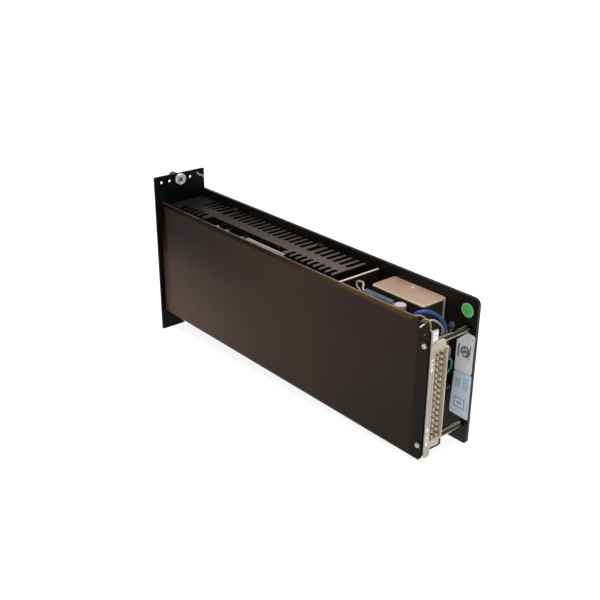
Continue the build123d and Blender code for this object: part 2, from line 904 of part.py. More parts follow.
def shunt_resistor():
    """An aluminium-clad resistor on the heat-sink plate."""
    body = block((sink_inner_x, sink_inner_x + 10.0), (160.0, 210.0), (-6.0, 12.0))
    body = rounded(body, Axis.Y, 1.5)
    groove_x = (sink_inner_x + 7.5, sink_inner_x + 11)
    return body - [block(groove_x, (150, 220), (z, z + 1.4)) for z in even(-3.2, 7.8, 5)]


def board_link():
    """The stacking connector between the power board and the control board."""
    return rounded(block((power_face_x, control_face_x), (240.0, 248.0), (-30.0, 20.0)), Axis.X, 1.0)


# ---- Rear bay -----------------------------------------------------------------------------

can_x = (-26.0, 2.2)
can_y = (286.8, 345.4)
can_z = (-20.0, vent_top_z)
can_pip = (-19.6, 313.7, vent_top_z)


def filter_can():
    """A drawn metal can with rounded edges and a small pip on top."""
    can = rounded(block(can_x, can_y, can_z), Axis.Z, 3.0)
    can = fillet(can.faces().sort_by(Axis.Z)[-1].edges(), 1.6)
    return can + Pos(*can_pip) * Cone(1.8, 0.5, 0.8, align=(Align.CENTER, Align.CENTER, Align.MIN))


def can_bracket():
    """The shelf that carries the can, fixed to the heat-sink plate."""
    shelf = block((sink_inner_x, 19.0), (283.0, 356.0), (can_z[0] - 2, can_z[0]))
    leg = block((sink_inner_x, sink_inner_x + 2), (283.0, 350.0), (can_z[0] - 16, can_z[0] - 2))
    return shelf + leg


def bay_terminal_block():
    """A moulded block on the can bracket, whose top takes the leads."""
    body = block((5.6, 18.6), (321.0, 352.8), (can_z[0], terminal_top_z))
    body = chamfer(body.faces().sort_by(Axis.Z)[-1].edges(), 0.6)
    names = ("blue_lead", "lilac_lead", "brown_lead", "earth_lead")
    return body - [lead_hole(name, "start") for name in names] - lead_hole("looped_lead", "end")


def board_header():
    """A header on the connector board's front face, which takes the leads' other ends."""
    body = block((header_side_x, 7.8), (353.4, connector_board_y[0]), (-12.0, header_top_z))
    body = chamfer(body.faces().sort_by(Axis.Z)[-1].edges(), 0.5)
    names = ("blue_lead", "lilac_lead", "brown_lead", "earth_lead", "teal_lead", "white_lead")
    body -= [lead_hole(name, "end") for name in names]
    return body - [lead_hole(name, "start") for name in ("teal_lead", "white_lead")]


capacitor_x = 9.3
capacitor_y = 327.5
capacitor_radius = 4.8
capacitor_top_z = 54.3


def suppressor_capacitor():
    body = along_z(capacitor_radius, capacitor_x, capacitor_y, (terminal_top_z, capacitor_top_z))
    return fillet(body.edges().filter_by(GeomType.CIRCLE).sort_by(Axis.Z)[-1], 0.8)


def cable_sleeve():
    """A soft sleeve over the looped lead beside the can."""
    sleeve = along_y(3.1, 8.0, (286.4, 318.0), 50.6)
    sleeve = fillet(sleeve.edges().filter_by(GeomType.CIRCLE), 1.2)
    return sleeve - along_y(1.1, 8.0, (280, 325), 50.6)


def earth_terminal():
    """A ring terminal and its screw on the heat-sink plate, with an insulated barrel."""
    y, z = 352.0, 34.5
    ring = along_x(2.8, (sink_inner_x, sink_inner_x + 0.8), y, z)
    head = along_x(1.9, (sink_inner_x + 0.8, sink_inner_x + 2.6), y, z)
    barrel = along_z(1.5, sink_inner_x + 1.6, y, (z - 13.0, z - 3.4))
    tongue = block((sink_inner_x, sink_inner_x + 0.8), (y - 1.3, y + 1.3), (z - 9.0, z - 2.0))
    return ring + head + barrel + tongue


# ---- Labels -------------------------------------------------------------------------------

label_thickness = 0.15
label_x = (sink_inner_x, sink_inner_x + label_thickness)


def label(corners):
    """A flat paper label with rounded corners, from its corners' y and z."""
    outline = Plane.YZ.offset(label_x[0]) * make_face(Polyline(*corners, close=True))
    return rounded(extrude(outline, amount=label_thickness, dir=(1, 0, 0)), Axis.X, 1.6)


def plate_labels():
    """A round sticker and two paper labels on the heat-sink plate's inner face."""
    sticker = along_x(6.15, label_x, 366.1, 52.2)
    rating = label([(358.0, -4.2), (375.9, -2.4), (376.3, 32.1), (368.9, 33.5), (358.3, 23.5)])
    notice = label([(356.3, -44.2), (376.3, -45.2), (376.2, -2.8), (358.0, -4.6)])
    return group([sticker, rating, notice])


# ---- Build --------------------------------------------------------------------------------


def structure():
    save("front_panel", front_panel())
    save("panel_screws", group([panel_screw(x, z) for x in block_faces_x for z in block_heights]))
    save("corner_blocks", corner_blocks())
    save("side_cover", side_cover())
    save("heat_sink_plate", heat_sink_plate())
    save("heat_sink_screws", group([sink_screw(z) for z in rod_heights]))
    save("top_vent_plate", top_vent_plate())
    save("bottom_vent_plate", bottom_vent_plate())
    save("vent_lugs", vent_lugs())
    save("vent_screws", vent_screws())
    save("bulkhead", bulkhead())
    save("bulkhead_grommet", bulkhead_grommet())
    save("tie_rods", group([tie_rod(z) for z in rod_heights]))
    save("cover_screws", cover_screws())
    save("cover_washers", cover_washers())


def captive_screws():
    save("ferrules", group([ferrule(captive_z), ferrule(-captive_z)]))
    for name, z in (("upper", captive_z), ("lower", -captive_z)):
        save(f"{name}_retaining_ring", retaining_ring(z))
        save(f"{name}_thumb_screw", thumb_screw(z))


def rear_connector():
    save("connector_shroud", connector_shroud())
    save("connector_pins", connector_pins())
    save("connector_board", connector_board())
    save("connector_screws", connector_screws())
    save("connector_bracket", connector_bracket())
    save("connector_tags", connector_tags())


def control_side():
    save("control_board", control_board())
    save("option_socket", option_socket())
    save("control_chips", control_chips())
    save("signal_transformer", signal_transformer())
    save("film_capacitors", film_capacitors())
    save("trimmers", trimmers())
    save("status_leds", status_leds())


def power_side():
    save("power_board", power_board())
    save("board_standoffs", board_standoffs())
    save("transistor_pads", transistor_pads())
    save("power_transistors", power_transistors())
    save("clamp_bars", clamp_bars())
    save("bus_capacitors", bus_capacitors())
    save("ripple_choke", ripple_choke())
    save("relay", relay())
    save("fuses", fuses())
    save("fuse_clips", fuse_clips())
    save("shunt_resistor", shunt_resistor())
    save("board_link", board_link())


def rear_bay():
    save("filter_can", filter_can())
    save("can_bracket", can_bracket())
    save("bay_terminal_block", bay_terminal_block())
    save("board_header", board_header())
    save("suppressor_capacitor", suppressor_capacitor())
    save("cable_sleeve", cable_sleeve())
    save("earth_terminal", earth_terminal())
    for name, (radius, points) in lead_routes.items():
        save(name, lead(name, points, radius))
    save("plate_labels", plate_labels())


os.makedirs("parts", exist_ok=True)
structure()
captive_screws()
rear_connector()
control_side()
power_side()
rear_bay()
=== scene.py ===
import math

import bpy
from mathutils import Matrix, Vector

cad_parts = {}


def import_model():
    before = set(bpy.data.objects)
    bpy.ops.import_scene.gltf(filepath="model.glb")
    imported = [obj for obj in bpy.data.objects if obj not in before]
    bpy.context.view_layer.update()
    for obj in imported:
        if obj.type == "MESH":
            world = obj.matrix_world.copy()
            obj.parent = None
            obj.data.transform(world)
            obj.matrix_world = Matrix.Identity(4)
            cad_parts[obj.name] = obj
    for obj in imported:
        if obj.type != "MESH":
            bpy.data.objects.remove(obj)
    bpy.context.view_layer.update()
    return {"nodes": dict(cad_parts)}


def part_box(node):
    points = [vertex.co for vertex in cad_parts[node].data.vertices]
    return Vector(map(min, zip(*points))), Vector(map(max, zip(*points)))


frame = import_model()
nodes = frame["nodes"]
MM = 0.001

# Places in metres: the upper vent plate's outer face, the pip on the can's top in X and Y, and
# the heights between which the labels change from grey to blue-grey and from grey to the sticker.
UPPER_FACE_Z = 0.0567
CAN_PIP = (-0.0196, 0.3137)
LABEL_SEAM_Z = (-0.0033, -0.0036)
STICKER_SEAM_Z = (0.040, 0.042)

# Places in mm of Y and Z on the heat-sink plate's inner face.
STICKER_MIDDLE = (366.1, 52.2)
EMBLEM_MIDDLE = (367.9, 15.6)
NOTICE_FRAME_MIDDLE = (366.0, -32.5)

# The dot product of the softened and the true normal, where an edge starts and where it is full.
EDGE_STARTS = 0.995
EDGE_FULL = 0.90
BEVEL_SAMPLES = 4
ROUNDED_EDGE = 0.3 * MM


# ---- Material building --------------------------------------------------------------------


class Nodes:
    """A short way to write one material's nodes."""

    def __init__(self, name):
        self.material = bpy.data.materials.new(name)
        self.material.use_nodes = True
        self.tree = self.material.node_tree
        self.shader = self.tree.nodes["Principled BSDF"]
        self.coords = self.add("ShaderNodeTexCoord").outputs["Object"]

    def add(self, kind, inputs=None, **settings):
        node = self.tree.nodes.new(kind)
        for key, value in settings.items():
            setattr(node, key, value)
        for key, value in (inputs or {}).items():
            self.feed(node.inputs[key], value)
        return node

    def feed(self, socket, value):
        if isinstance(value, bpy.types.NodeSocket):
            self.tree.links.new(value, socket)
        elif isinstance(value, (tuple, list)) and len(value) == 3 and len(socket.default_value) == 4:
            socket.default_value = (*value, 1.0)
        else:
            socket.default_value = value

    def stretched(self, scale):
        """Object coordinates scaled by three numbers."""
        return self.add("ShaderNodeMapping", {"Vector": self.coords, "Scale": scale}).outputs[0]

    def noise(self, scale, detail=4.0, rough=0.55, vector=None):
        inputs = {"Vector": vector or self.coords, "Scale": scale, "Detail": detail, "Roughness": rough}
        return self.add("ShaderNodeTexNoise", inputs).outputs["Fac"]

    def ramp(self, value, low, high, start=0.0, end=1.0):
        """Maps low..high to start..end, held at both ends."""
        inputs = {0: value, 1: low, 2: high, 3: start, 4: end}
        return self.add("ShaderNodeMapRange", inputs, clamp=True).outputs[0]

    def math(self, how, a, b=0.0):
        return self.add("ShaderNodeMath", {0: a, 1: b}, operation=how).outputs[0]

    def both(self, a, b):
        """The product of two values, so 1 only where both are 1."""
        return self.math("MULTIPLY", a, b)

    def any(self, masks):
        """1 where any of the masks is 1."""
        result = masks[0]
        for mask in masks[1:]:
            result = self.math("MAXIMUM", result, mask)
        return result

    def dot(self, vector, way):
        node = self.add("ShaderNodeVectorMath", {0: vector, 1: way}, operation="DOT_PRODUCT")
        return node.outputs["Value"]

    def facing(self, way):
        """How far the surface faces along a direction."""
        return self.dot(self.add("ShaderNodeNewGeometry").outputs["Normal"], way)

    def rounded(self, radius):
        """Normals that are softened over the edges."""
        return self.add("ShaderNodeBevel", {"Radius": radius}, samples=BEVEL_SAMPLES).outputs[0]

    def mix(self, share, a, b):
        """Colour a where share is 0, b where it is 1."""
        node = self.add("ShaderNodeMix", {"Factor": share}, data_type="RGBA")
        self.feed(node.inputs[6], a)
        self.feed(node.inputs[7], b)
        return node.outputs[2]

    def axis(self, source, name):
        return self.add("ShaderNodeSeparateXYZ", {0: source}).outputs[name]

    def edges(self, radius):
        """1 on edges sharper than the bevel radius, 0 on flat faces."""
        return self.ramp(self.facing(self.rounded(radius)), EDGE_STARTS, EDGE_FULL)

    def near(self, value, centre, half, soft=0.0002):
        """1 where a value is within half of the centre, 0 outside."""
        away = self.math("ABSOLUTE", self.math("SUBTRACT", value, centre))
        return self.ramp(away, half + soft, half - soft)

    def bar(self, middle, half):
        """1 inside an upright rectangle on a side face, by its middle and half sizes in mm of Y and Z."""
        y = self.near(self.axis(self.coords, "Y"), middle[0] * MM, half[0] * MM)
        z = self.near(self.axis(self.coords, "Z"), middle[1] * MM, half[1] * MM)
        return self.both(y, z)

    def reach(self, middle):
        """Distance on a side face from a point given in mm of Y and Z."""
        y = self.math("SUBTRACT", self.axis(self.coords, "Y"), middle[0] * MM)
        z = self.math("SUBTRACT", self.axis(self.coords, "Z"), middle[1] * MM)
        squares = self.math("ADD", self.both(y, y), self.both(z, z))
        return self.math("SQRT", squares)

    def stroke(self, first, last, half):
        """1 along a straight stroke on a side face, between two points given in mm of Y and Z."""
        length = math.dist(first, last)
        way = ((last[0] - first[0]) / length, (last[1] - first[1]) / length)
        middle = ((first[0] + last[0]) / 2, (first[1] + last[1]) / 2)
        along = way[0] * middle[0] + way[1] * middle[1]
        across = way[0] * middle[1] - way[1] * middle[0]
        ends = self.near(self.dot(self.coords, (0.0, way[0], way[1])), along * MM, length / 2 * MM)
        sides = self.near(self.dot(self.coords, (0.0, -way[1], way[0])), across * MM, half * MM)
        return self.both(ends, sides)

    def tint(self, share, colour):
        """Lays a colour over the base colour where share is 1."""
        base = self.shader.inputs["Base Color"].links[0].from_socket
        return self.set(Base_Color=self.mix(share, base, colour))

    def bump(self, height, strength, distance, normal=None):
        inputs = {"Height": height, "Strength": strength, "Distance": distance}
        if normal is not None:
            inputs["Normal"] = normal
        return self.add("ShaderNodeBump", inputs).outputs[0]

    def set(self, **values):
        """Shader sockets by name, with _ for a space."""
        for key, value in values.items():
            self.feed(self.shader.inputs[key.replace("_", " ")], value)
        return self


def shade(colour, factor):
    """A colour made lighter or darker."""
    return tuple(min(1.0, c * factor) for c in colour)


def surface(
    name, colour, rough=0.4, metal=0.0, vary=0.18, patch=18.0, rough_vary=0.12,
    grain=900.0, grain_depth=0.00002, wear=None, wear_share=0.5, edge=0.0005, smudge=0.0,
    specular=0.5, stretch=None,
):
    """A finish with patchy colour and gloss, a fine grain, and wear on its edges if it has a wear colour."""
    n = Nodes(name)
    vector = n.stretched(stretch) if stretch else None
    patches = n.noise(patch, 5.0, 0.6)
    base = n.mix(n.ramp(patches, 0.3, 0.7), shade(colour, 1 - vary), shade(colour, 1 + vary))
    marks = n.noise(patch * 7, 6.0, 0.65, vector)
    gloss = n.ramp(marks, 0.3, 0.7, max(0.02, rough - rough_vary), min(1.0, rough + rough_vary))
    if smudge:
        film = n.ramp(n.noise(patch * 0.6, 3.0, 0.7), 0.48, 0.72)
        base = n.mix(n.both(film, smudge), base, shade(colour, 1.9))
        gloss = n.math("ADD", gloss, n.both(film, 0.12))
    if wear:
        scuffed = n.ramp(n.noise(260.0, 6.0, 0.7), 0.62 - wear_share * 0.3, 0.78 - wear_share * 0.3)
        wear_and_highlight = n.both(n.edges(edge), scuffed)
        base = n.mix(wear_and_highlight, base, wear)
    fine = n.noise(grain, 3.0, 0.6, vector)
    normal = n.bump(fine, 0.35, grain_depth, n.rounded(ROUNDED_EDGE))
    return n.set(Base_Color=base, Roughness=gloss, Metallic=metal, Normal=normal, Specular_IOR_Level=specular)


def paint(names, finish):
    """Puts a finish in every material slot of the named CAD nodes."""
    for name in names.split():
        for material_slot in nodes[name].material_slots:
            material_slot.material = finish.material


# ---- Finishes -----------------------------------------------------------------------------

def cover_finish():
    """Dark brown lacquer with painted light on it: a paler, redder painted reflection low at the front,
    painted shade darker to the rear, a greenish painted reflection, painted shade, a warm painted reflection
    and a painted highlight along the top bend, and two painted glints at the rear corner.
    """
    n = surface("brown_lacquer", (0.0340, 0.0190, 0.0140), 0.34, vary=0.10, patch=7.0, rough_vary=0.05,
                grain=1400.0, grain_depth=0.000012, smudge=0.08, specular=0.05)
    y = n.axis(n.coords, "Y")
    z = n.axis(n.coords, "Z")
    # Painted shade, darker towards the rear.
    n.tint(n.ramp(y, 0.24, 0.34), (0.0235, 0.0152, 0.0120))
    # Deeper painted shade low at the rear, and a redder painted shade high at the rear.
    low_rear = n.both(n.ramp(y, 0.24, 0.33), n.ramp(z, 0.0, -0.045))
    n.tint(low_rear, (0.0165, 0.0118, 0.0080))
    high_rear = n.both(n.ramp(y, 0.26, 0.33), n.ramp(z, 0.02, 0.045))
    n.tint(n.both(high_rear, 0.8), (0.0300, 0.0145, 0.0132))
    # A paler, redder painted reflection low at the front, and painted shade high at the front.
    front = n.ramp(y, 0.20, 0.02)
    n.tint(n.both(front, n.ramp(z, 0.02, -0.045)), (0.084, 0.051, 0.037))
    n.tint(n.both(front, n.ramp(z, 0.000, 0.035)), (0.0060, 0.0010, 0.0006))
    # A greenish painted reflection on the middle of the side.
    green_reflection = n.both(n.near(y, 0.169, 0.01, 0.05), n.near(z, 0.040, 0.004, 0.022))
    n.tint(n.both(green_reflection, 0.85), (0.033, 0.025, 0.004))
    # A band of painted shade along the rear edge.
    rear_shade_band = n.both(n.ramp(y, 0.3595, 0.3625), 0.75)
    n.tint(rear_shade_band, (0.0075, 0.0068, 0.0060))
    # Painted shade along the top bend near the front, then a warm painted reflection on the bend towards the
    # rear.
    bend = n.both(n.ramp(z, 0.0536, 0.0556), n.ramp(y, 0.358, 0.352))
    n.tint(n.both(bend, n.ramp(y, 0.01, 0.05, 0.2, 0.85)), (0.012, 0.007, 0.004))
    n.tint(n.both(bend, n.ramp(y, 0.17, 0.29, 0.0, 0.95)), (0.074, 0.042, 0.017))
    # A painted highlight along the crown of the top bend, stronger towards the rear and broken up by noise.
    crown = n.both(n.ramp(z, 0.05755, 0.05775), n.ramp(y, 0.0, 0.20, 0.25, 1.0))
    wear_and_highlight = n.ramp(n.noise(45.0, 4.0, 0.6), 0.35, 0.6, 0.35, 1.0)
    n.tint(n.both(crown, wear_and_highlight), (0.27, 0.22, 0.18))
    # Two painted glints on the rear corner of the top lip, a long bright one and a short faint one.
    long_glint = n.stroke((363.3, 52.1), (366.5, 56.0), 0.55)
    n.tint(n.both(long_glint, 0.95), (0.80, 0.80, 0.77))
    short_glint = n.stroke((368.7, 49.1), (367.9, 46.7), 0.4)
    return n.tint(n.both(short_glint, 0.3), (0.45, 0.45, 0.42))


def plate_finish():
    """Black anodising, with a painted reflection that makes it a little paler to the rear, and a faint grey
    spot by the panel.
    """
    n = surface("black_anodised", (0.0085, 0.0070, 0.0062), 0.34, vary=0.25, patch=14.0, rough_vary=0.08,
                grain=1500.0, grain_depth=0.00001, smudge=0.15, specular=0.16, stretch=(1.0, 0.25, 1.0))
    y = n.axis(n.coords, "Y")
    z = n.axis(n.coords, "Z")
    # A painted reflection, a little paler towards the rear.
    n.tint(n.ramp(y, 0.24, 0.36, 0.0, 0.4), (0.020, 0.016, 0.013))
    # A small pale grey spot by the panel, broken up by noise.
    pale_spot = n.both(n.near(y, 0.0056, 0.001, 0.004), n.near(z, 0.0608, 0.001, 0.003))
    pale_spot = n.both(pale_spot, n.ramp(n.noise(200.0), 0.45, 0.6, 0.0, 0.5))
    return n.tint(pale_spot, (0.10, 0.10, 0.10))


def panel_finish():
    """Matt black, with the paint chipped off one upper corner of the rear face."""
    n = surface("matt_black_panel", (0.0024, 0.0022, 0.0022), 0.60, vary=0.3, patch=22.0, grain=1300.0,
                wear=(0.06, 0.055, 0.05), wear_share=0.2, edge=0.0004, smudge=0.15, specular=0.09)
    x = n.axis(n.coords, "X")
    z = n.axis(n.coords, "Z")
    wander = n.both(n.math("SUBTRACT", n.noise(380.0, 3.0, 0.6), 0.5), 0.006)
    level = n.math("ADD", n.math("SUBTRACT", z, n.both(x, 0.64)), wander)
    chip = n.both(n.near(level, 0.0952, 0.0011, 0.0002), n.near(x, -0.0252, 0.0042, 0.0003))
    rear_face = n.ramp(n.axis(n.coords, "Y"), -0.0006, -0.0003)
    return n.tint(n.both(chip, rear_face), (0.55, 0.45, 0.36))


def vent_finish():
    """Black sheet with a painted sheen on its upper face, which grows towards the rear and leaves the face
    dark by the front panel.
    """
    n = surface("black_vent_sheet", (0.007, 0.006, 0.006), 0.42, vary=0.2, patch=20.0, grain=1500.0,
                wear=(0.16, 0.14, 0.12), wear_share=0.2, edge=0.0003, smudge=0.2, specular=0.16)
    y = n.axis(n.coords, "Y")
    upper = n.near(n.axis(n.coords, "Z"), UPPER_FACE_Z, 0.0004)
    # Painted sheen on the upper face, none by the front panel where its shade falls, growing towards the
    # rear.
    n.tint(n.both(upper, n.ramp(y, 0.038, 0.075)), (0.020, 0.0130, 0.0085))
    n.tint(n.both(upper, n.ramp(y, 0.080, 0.150)), (0.058, 0.041, 0.034))
    return n.tint(n.both(upper, n.ramp(y, 0.155, 0.250)), (0.100, 0.074, 0.064))


def bulkhead_finish():
    """Pale passivated sheet, with painted shade that darkens the wall below its upper edge."""
    n = surface("passivated_sheet", (0.78, 0.68, 0.58), 0.40, 0.2, vary=0.06, patch=30.0, smudge=0.1,
                grain=1200.0)
    # Painted shade on the wall below the upper edge.
    return n.tint(n.ramp(n.axis(n.coords, "Z"), 0.0562, 0.0557), (0.030, 0.020, 0.014))


def can_finish():
    """Satin tin with painted light: a painted highlight on its rim and round the pip, painted light that
    makes it paler at the rear, painted shade on the far front of its top and on its sides, and a painted
    highlight down one rear corner.
    """
    n = surface("warm_tin", (0.41, 0.27, 0.185), 0.40, 0.30, vary=0.04, patch=16.0, rough_vary=0.06,
                grain=900.0, grain_depth=0.000006, smudge=0.05)
    x = n.axis(n.coords, "X")
    y = n.axis(n.coords, "Y")
    z = n.axis(n.coords, "Z")
    # Painted light, paler towards the rear.
    n.tint(n.ramp(y, 0.305, 0.345, 0.0, 0.45), (0.62, 0.44, 0.33))
    # Painted shade on the far front part of the can.
    far = n.ramp(x, -0.010, -0.026, 0.0, 0.45)
    n.tint(n.both(far, n.ramp(y, 0.33, 0.30)), (0.30, 0.19, 0.13))
    # A painted highlight round the pip.
    n.tint(pip_highlight(n, x, y), (0.70, 0.56, 0.46))
    # A painted highlight on the rim.
    rim = n.both(n.ramp(z, 0.05655, 0.0563), n.ramp(z, 0.0553, 0.0556))
    n.tint(n.both(rim, 0.7), (0.85, 0.66, 0.40))
    # Painted shade on the can's sides below the rim.
    side = n.ramp(z, 0.0555, 0.0548)
    n.tint(n.both(side, 0.95), (0.016, 0.012, 0.009))
    # A painted highlight down the far rear corner of the sides.
    corner_highlight = n.both(n.ramp(x, -0.0212, -0.0218), n.ramp(y, 0.3446, 0.3450))
    return n.tint(n.both(corner_highlight, side), (0.60, 0.50, 0.38))


def pip_highlight(n, x, y):
    """A soft round painted highlight about the pip of the can's top, fading out."""
    across = n.math("SUBTRACT", x, CAN_PIP[0])
    along = n.math("SUBTRACT", y, CAN_PIP[1])
    away = n.math("SQRT", n.math("ADD", n.both(across, across), n.both(along, along)))
    return n.ramp(away, 0.0015, 0.0070, 0.35, 0.0)


def earth_finish():
    """Yellow insulation with a green stripe down one side."""
    n = surface("yellow_green_insulation", (0.42, 0.45, 0.14), 0.42, vary=0.1, grain=500.0)
    return n.tint(n.ramp(n.facing((0.7, 0.1, 0.3)), 0.44, 0.48), (0.12, 0.24, 0.05))


def board_finish(name, dark, light):
    """Green solder mask over copper tracks that stand slightly proud."""
    n = Nodes(name)
    weave = n.add("ShaderNodeTexBrick", {
        "Vector": n.coords, "Scale": 240.0, "Mortar Size": 0.03,
        "Color1": (0.0, 0.0, 0.0, 1.0), "Color2": (1.0, 1.0, 1.0, 1.0), "Mortar": (0.5, 0.5, 0.5, 1.0)})
    tracks = n.ramp(n.noise(300.0, 1.0, 0.5), 0.49, 0.51)
    base = n.mix(tracks, dark, light)
    dusty = n.mix(n.ramp(n.noise(60.0), 0.5, 0.8, 0.0, 0.15), base, shade(light, 1.6))
    height = n.math("ADD", tracks, n.both(weave.outputs["Fac"], 0.3))
    gloss = n.ramp(n.noise(120.0), 0.3, 0.7, 0.26, 0.46)
    normal = n.bump(height, 0.4, 0.00003)
    return n.set(Base_Color=dusty, Roughness=gloss, Normal=normal, Specular_IOR_Level=0.3)


def shroud_finish():
    """Cream moulding with painted shade deep in its cavity."""
    n = surface("cream_plastic", (0.56, 0.49, 0.37), 0.46, vary=0.07, patch=50.0, grain=700.0, smudge=0.06,
                specular=0.4)
    # Painted shade in the cavity, behind the rim.
    return n.tint(n.ramp(n.axis(n.coords, "Y"), 0.3732, 0.3722, 0.0, 0.8), (0.105, 0.070, 0.038))


def label_finish():
    """A green round sticker, a grey label and a blue-grey one, printed with plain shapes only."""
    n = surface("printed_label", (0.93, 0.96, 1.0), 0.42, vary=0.05, patch=50.0, grain=600.0, smudge=0.05,
                specular=0.4)
    z = n.axis(n.coords, "Z")
    n.tint(n.ramp(z, *LABEL_SEAM_Z), (0.74, 0.90, 1.0))
    print_sticker(n, n.ramp(z, *STICKER_SEAM_Z))
    print_rating(n)
    print_notice(n)
    return n


def print_sticker(n, sticker):
    """Green, with a pale ring near its rim."""
    n.tint(sticker, (0.10, 0.56, 0.13))
    rim = n.near(n.reach(STICKER_MIDDLE), 5.3 * MM, 0.35 * MM)
    n.tint(n.both(n.both(rim, sticker), 0.6), (0.60, 0.90, 0.62))


def print_rating(n):
    """A dark ring with a blot in it, a bar on its front side and three small marks."""
    away = n.reach(EMBLEM_MIDDLE)
    blot = n.both(n.ramp(away, 3.8 * MM, 3.4 * MM), n.ramp(n.noise(420.0, 2.0, 0.5), 0.40, 0.46))
    bars = (
        ((360.9, 15.2), (0.75, 5.8)),
        ((372.8, 20.6), (0.5, 2.0)),
        ((372.1, 10.7), (0.6, 0.6)),
        ((374.0, 28.6), (0.7, 0.7)),
    )
    marks = [n.near(away, 4.3 * MM, 0.7 * MM), blot, *(n.bar(*bar) for bar in bars)]
    n.tint(n.both(n.any(marks), 0.88), (0.045, 0.055, 0.055))


def print_notice(n):
    """Faint bars in place of print, and a frame about a small patch."""
    bars = (
        ((361.2, -14.4), (0.6, 4.4)),
        ((362.9, -14.2), (0.5, 4.2)),
        ((364.5, -13.8), (0.5, 4.6)),
        ((369.4, -13.6), (0.5, 5.8)),
        ((371.2, -13.2), (0.5, 5.4)),
        ((372.9, -12.8), (0.5, 6.0)),
        ((374.3, -33.0), (0.5, 4.6)),
    )
    n.tint(n.both(n.any([n.bar(*bar) for bar in bars]), 0.5), (0.10, 0.24, 0.38))
    outer = n.bar(NOTICE_FRAME_MIDDLE, (5.6, 4.6))
    inner = n.bar(NOTICE_FRAME_MIDDLE, (4.7, 3.7))
    n.tint(n.both(n.math("SUBTRACT", outer, inner), 0.75), (0.080, 0.180, 0.270))
    n.tint(n.both(n.bar(NOTICE_FRAME_MIDDLE, (2.4, 1.3)), 0.7), (0.120, 0.330, 0.520))


def tag_finish():
    """Pale tags with small plain marks, given by their middles and half sizes in mm of X and Z."""
    n = surface("pale_tag", (0.95, 0.92, 0.90), 0.45, vary=0.05, patch=50.0, grain=600.0, smudge=0.05)
    x = n.axis(n.coords, "X")
    z = n.axis(n.coords, "Z")
    places = (
        ((22.9, 26.5), (0.7, 1.0)),
        ((23.0, 22.5), (0.4, 1.6)),
        ((23.0, -38.0), (0.5, 2.2)),
        ((23.0, -43.5), (0.5, 1.4)),
        ((19.0, 47.4), (0.5, 0.4)),
        ((21.0, 49.4), (0.9, 0.3)),
    )
    marks = [
        n.both(n.near(x, middle[0] * MM, half[0] * MM), n.near(z, middle[1] * MM, half[1] * MM))
        for middle, half in places
    ]
    return n.tint(n.both(n.any(marks), 0.85), (0.10, 0.08, 0.08))


def sleeve_finish():
    """A milky blue-grey sleeve with darker streaks along it."""
    n = surface("soft_sleeve", (0.060, 0.074, 0.098), 0.34, vary=0.2, patch=80.0, grain=600.0, smudge=0.25)
    streaks = n.ramp(n.noise(150.0, 4.0, 0.6, n.stretched((1.0, 0.18, 1.0))), 0.48, 0.60, 0.0, 0.75)
    return n.tint(streaks, (0.16, 0.195, 0.26))


def insulation(name, colour):
    """Smooth coloured insulation of a lead."""
    return surface(name, colour, 0.34, vary=0.12, patch=60.0, grain=600.0, grain_depth=0.00001, specular=0.4)


def rod_finish():
    """Polished steel with a painted dark reflection along the side that faces up and to the rear."""
    n = surface("rod_steel", (0.42, 0.34, 0.26), 0.10, 1.0, vary=0.06, patch=60.0, rough_vary=0.03,
                grain=2000.0, grain_depth=0.000004, stretch=(0.2, 1.0, 1.0))
    # A painted dark reflection along the side that faces up and to the rear.
    stripe = n.ramp(n.facing((0.0, 0.94, 0.34)), 0.86, 0.92, 0.0, 0.95)
    return n.tint(stripe, (0.028, 0.028, 0.016))


nickel = surface("nickel", (0.50, 0.43, 0.34), 0.16, 1.0, vary=0.10, patch=80.0, grain=2000.0,
                 grain_depth=0.000006, stretch=(0.2, 1.0, 1.0), wear=(0.9, 0.88, 0.84), wear_share=0.4)
turned = surface("turned_nickel", (0.88, 0.82, 0.82), 0.28, 0.55, vary=0.05, patch=90.0, rough_vary=0.05,
                 grain=2200.0, grain_depth=0.000008, stretch=(1.0, 0.2, 1.0))
screw_steel = surface("screw_steel", (0.16, 0.15, 0.14), 0.34, 0.9, vary=0.10, patch=90.0, grain=2200.0)
terminal_tin = surface("terminal_tin", (0.16, 0.18, 0.20), 0.36, 0.5, vary=0.08, patch=90.0, grain=2000.0)
bright_screw = surface("bright_screw", (0.55, 0.53, 0.53), 0.34, 0.6, vary=0.08, patch=90.0, grain=2200.0,
                       wear=(0.95, 0.94, 0.92), wear_share=0.5)
black_screw = surface("blackened_steel", (0.005, 0.0045, 0.0045), 0.42, 0.1, vary=0.3, patch=90.0,
                      grain=2000.0, wear=(0.10, 0.09, 0.08), wear_share=0.4, edge=0.0003, specular=0.3)
lug_metal = surface("lug_metal", (0.10, 0.08, 0.06), 0.40, 0.6, vary=0.15, patch=60.0, grain=1800.0)
plain_aluminium = surface("plain_aluminium", (0.40, 0.37, 0.33), 0.40, 0.4, vary=0.08, patch=40.0,
                          grain=1600.0, stretch=(1.0, 1.0, 0.12), wear=(0.9, 0.88, 0.85), wear_share=0.5,
                          smudge=0.06)
socket_pale = surface("socket_plastic", (0.30, 0.25, 0.22), 0.50, vary=0.12, patch=60.0, grain=700.0,
                      smudge=0.1)
pins = surface("tinned_pin", (0.80, 0.70, 0.54), 0.36, 0.15, vary=0.12, patch=140.0, grain=2500.0)
rear_board = board_finish("rear_solder_mask", (0.005, 0.026, 0.016), (0.010, 0.046, 0.027))
inner_board = board_finish("inner_solder_mask", (0.005, 0.006, 0.004), (0.008, 0.011, 0.007))
black_plastic = surface("black_plastic", (0.012, 0.011, 0.011), 0.48, vary=0.25, patch=60.0, grain=900.0,
                        smudge=0.2, specular=0.3)
